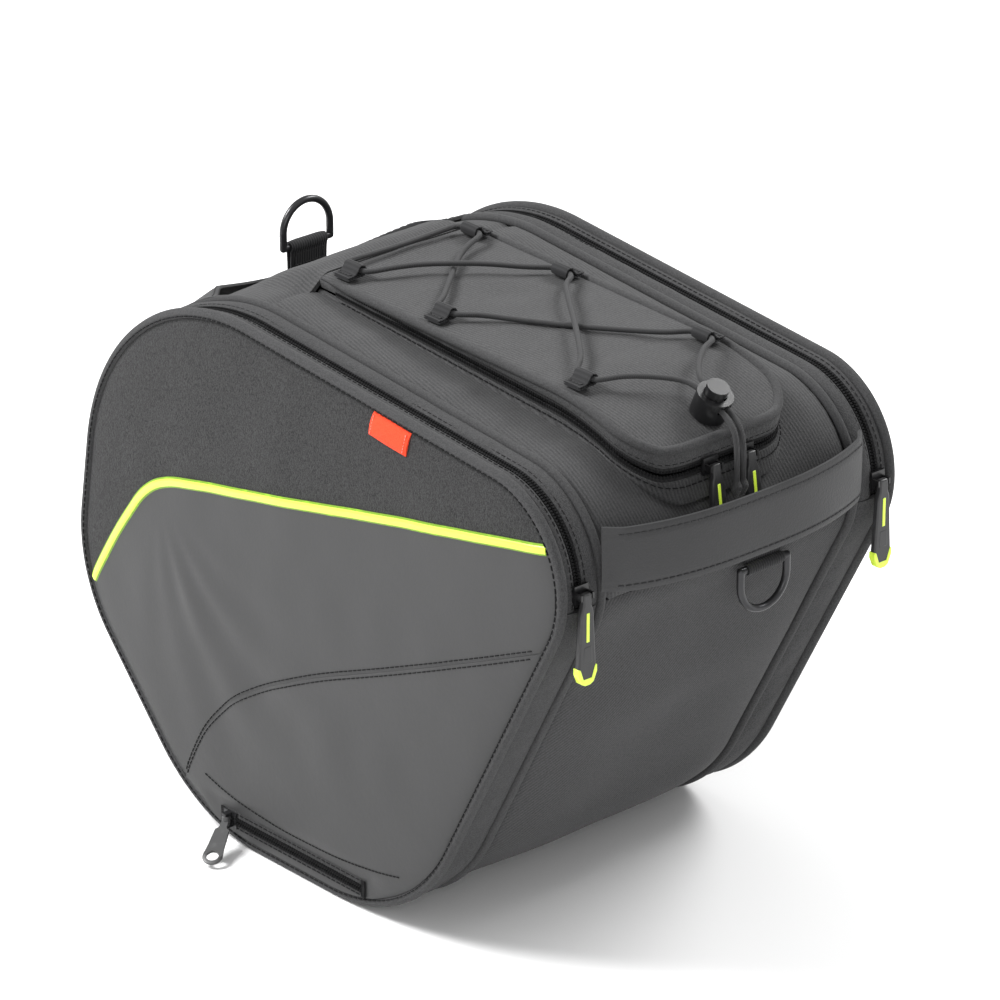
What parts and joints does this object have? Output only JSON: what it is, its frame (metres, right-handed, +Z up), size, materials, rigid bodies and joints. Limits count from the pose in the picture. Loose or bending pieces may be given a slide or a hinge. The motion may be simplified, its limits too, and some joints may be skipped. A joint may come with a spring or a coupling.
{
  "type": "scooter tunnel bag",
  "caption": "Soft bag for a scooter tunnel, with a laced lid that zips open, a zipped pocket on each side, end straps and anchor rings.",
  "frame": {"origin": "on the flat underside, below the middle of the bag, midway between its sides", "axes": "+X to the front end with the strap, +Y to the left side, +Z up"},
  "size_m": [0.4006, 0.2611, 0.315],
  "materials": {
    "body_cloth": "charcoal woven polyester, fine twill, matt",
    "base_cloth": "dark heavy woven polyester, matt",
    "board": "flat plastic board",
    "foam": "cloth-covered foam",
    "lid_cloth": "charcoal cloth with a fine diagonal rib",
    "face_cloth": "smooth technical cloth, low sheen",
    "coated_cloth": "smooth coated cloth, satin",
    "piping": "cloth-covered piping",
    "reflective": "bright yellow-green reflective tape",
    "tag": "red woven tag, plain",
    "zip_tape": "black woven tape with coil teeth",
    "webbing": "black ribbed webbing",
    "cord": "dark grey braided elastic cord",
    "moulding": "black moulded plastic, satin gloss",
    "puller": "dark moulded rubber",
    "metal": "nickel-plated",
    "ring_metal": "black coated steel wire",
    "strap": "soft synthetic leather with stitched edges"
  },
  "bodies": {
    "bag": {"base_panel": "base_cloth", "base_board": "board", "front_lower_panel": "body_cloth", "front_upper_panel": "body_cloth", "rear_end_panel": "body_cloth", "top_rear_panel": "body_cloth", "top_rim_panel": "body_cloth", "lid_zip_lower": "zip_tape", "right_divider": "foam", "left_divider": "foam", "right_body_piping": "piping", "left_body_piping": "piping", "pocket_gussets": "body_cloth", "inner_gussets": "body_cloth", "inner_zips": "zip_tape", "right_face_lower": "face_cloth", "left_face_lower": "face_cloth", "right_lower_piping": "piping", "left_lower_piping": "piping", "coated_panels": "coated_cloth", "strips_lower": "reflective", "bottom_zip": "zip_tape", "front_ring_webbing": "webbing", "rear_ring_webbing": "webbing"},
    "lid": {"lid_top": "lid_cloth", "lid_wall": "body_cloth", "lid_piping": "piping", "lid_foam": "foam", "lid_zip_upper": "zip_tape", "bungee_loops": "webbing", "bungee_cord": "cord", "cord_lock_barrel": "moulding", "cord_lock_spring": "metal"},
    "lock_button": {"cord_lock_button": "moulding"},
    "right_flap": {"right_face_upper": "body_cloth", "right_face_piping": "piping", "right_outer_gusset": "body_cloth", "right_outer_zip": "zip_tape", "right_strip_upper": "reflective", "right_tag": "tag"},
    "left_flap": {"left_face_upper": "body_cloth", "left_face_piping": "piping", "left_outer_gusset": "body_cloth", "left_outer_zip": "zip_tape", "left_strip_upper": "reflective"},
    "right_zip_slider": {"right_pocket_slider": "moulding"},
    "left_zip_slider": {"left_pocket_slider": "moulding"},
    "right_lid_zip_slider": {"right_lid_slider": "moulding"},
    "left_lid_zip_slider": {"left_lid_slider": "moulding"},
    "bottom_zip_slider": {"bottom_slider": "moulding"},
    "right_zip_puller": {"right_pocket_puller": "puller"},
    "left_zip_puller": {"left_pocket_puller": "puller"},
    "right_lid_zip_puller": {"right_lid_puller": "puller"},
    "left_lid_zip_puller": {"left_lid_puller": "puller"},
    "bottom_zip_pull": {"bottom_pull": "metal"},
    "front_ring": {"front_d_ring": "ring_metal"},
    "rear_ring": {"rear_d_ring": "ring_metal"},
    "front_strap": {"front_handle": "strap"},
    "rear_strap": {"rear_handle": "strap"}
  },
  "joints": [
    {"name": "lid_hinge", "type": "hinge", "parent": "bag", "child": "lid", "pos_m": [-0.0619, 0, 0.307], "axis": [0, -1, 0], "range_deg": [0, 110]},
    {"name": "lock_button_press", "type": "slide", "parent": "lid", "child": "lock_button", "axis": [-0.4133, 0, -0.9106], "range_m": [0, 0.003], "stiffness_N_per_m": 600},
    {"name": "right_flap_fold", "type": "hinge", "parent": "bag", "child": "right_flap", "pos_m": [0, -0.116, 0.219], "axis": [1, 0, 0], "range_deg": [0, 95]},
    {"name": "left_flap_fold", "type": "hinge", "parent": "bag", "child": "left_flap", "pos_m": [0, 0.116, 0.219], "axis": [-1, 0, 0], "range_deg": [0, 95]},
    {"name": "right_zip_run", "type": "hinge", "parent": "bag", "child": "right_zip_slider", "pos_m": [0.135, -0.1015, 0.227], "axis": [0, -1, 0], "range_deg": [0, 80]},
    {"name": "left_zip_run", "type": "hinge", "parent": "bag", "child": "left_zip_slider", "pos_m": [0.135, 0.1015, 0.227], "axis": [0, -1, 0], "range_deg": [0, 80]},
    {"name": "right_lid_zip_run", "type": "slide", "parent": "bag", "child": "right_lid_zip_slider", "axis": [0, -1, 0], "range_m": [0, 0.012]},
    {"name": "left_lid_zip_run", "type": "slide", "parent": "bag", "child": "left_lid_zip_slider", "axis": [0, 1, 0], "range_m": [0, 0.012]},
    {"name": "bottom_zip_run", "type": "slide", "parent": "bag", "child": "bottom_zip_slider", "axis": [1, 0, 0], "range_m": [0, 0.101]},
    {"name": "right_puller_swing", "type": "hinge", "parent": "right_zip_slider", "child": "right_zip_puller", "pos_m": [0.19246, -0.1015, 0.22901], "axis": [0, -1, 0], "range_deg": [0, 150]},
    {"name": "left_puller_swing", "type": "hinge", "parent": "left_zip_slider", "child": "left_zip_puller", "pos_m": [0.19246, 0.1015, 0.22901], "axis": [0, -1, 0], "range_deg": [0, 150]},
    {"name": "right_lid_puller_swing", "type": "hinge", "parent": "right_lid_zip_slider", "child": "right_lid_zip_puller", "pos_m": [0.18825, -0.012, 0.2693], "axis": [0, -1, 0], "range_deg": [0, 15]},
    {"name": "left_lid_puller_swing", "type": "hinge", "parent": "left_lid_zip_slider", "child": "left_lid_zip_puller", "pos_m": [0.18825, 0.012, 0.2693], "axis": [0, -1, 0], "range_deg": [0, 15]},
    {"name": "bottom_pull_swing", "type": "hinge", "parent": "bottom_zip_slider", "child": "bottom_zip_pull", "pos_m": [-0.065, -0.1195, 0.0146], "axis": [0, 0, 1], "range_deg": [-90, 25]},
    {"name": "front_ring_swing", "type": "hinge", "parent": "bag", "child": "front_ring", "pos_m": [0.18713, 0.024, 0.206], "axis": [0, -1, 0], "range_deg": [-15, 95]},
    {"name": "rear_ring_swing", "type": "hinge", "parent": "bag", "child": "rear_ring", "pos_m": [-0.135, 0, 0.289], "axis": [0, 1, 0], "range_deg": [-95, 65]},
    {"name": "front_strap_lift", "type": "hinge", "parent": "bag", "child": "front_strap", "pos_m": [0.1918, 0, 0.26], "axis": [0, -1, 0], "range_deg": [0, 60]},
    {"name": "rear_strap_lift", "type": "hinge", "parent": "bag", "child": "rear_strap", "pos_m": [-0.10503, 0, 0.29593], "axis": [0, 1, 0], "range_deg": [0, 100]}
  ]
}
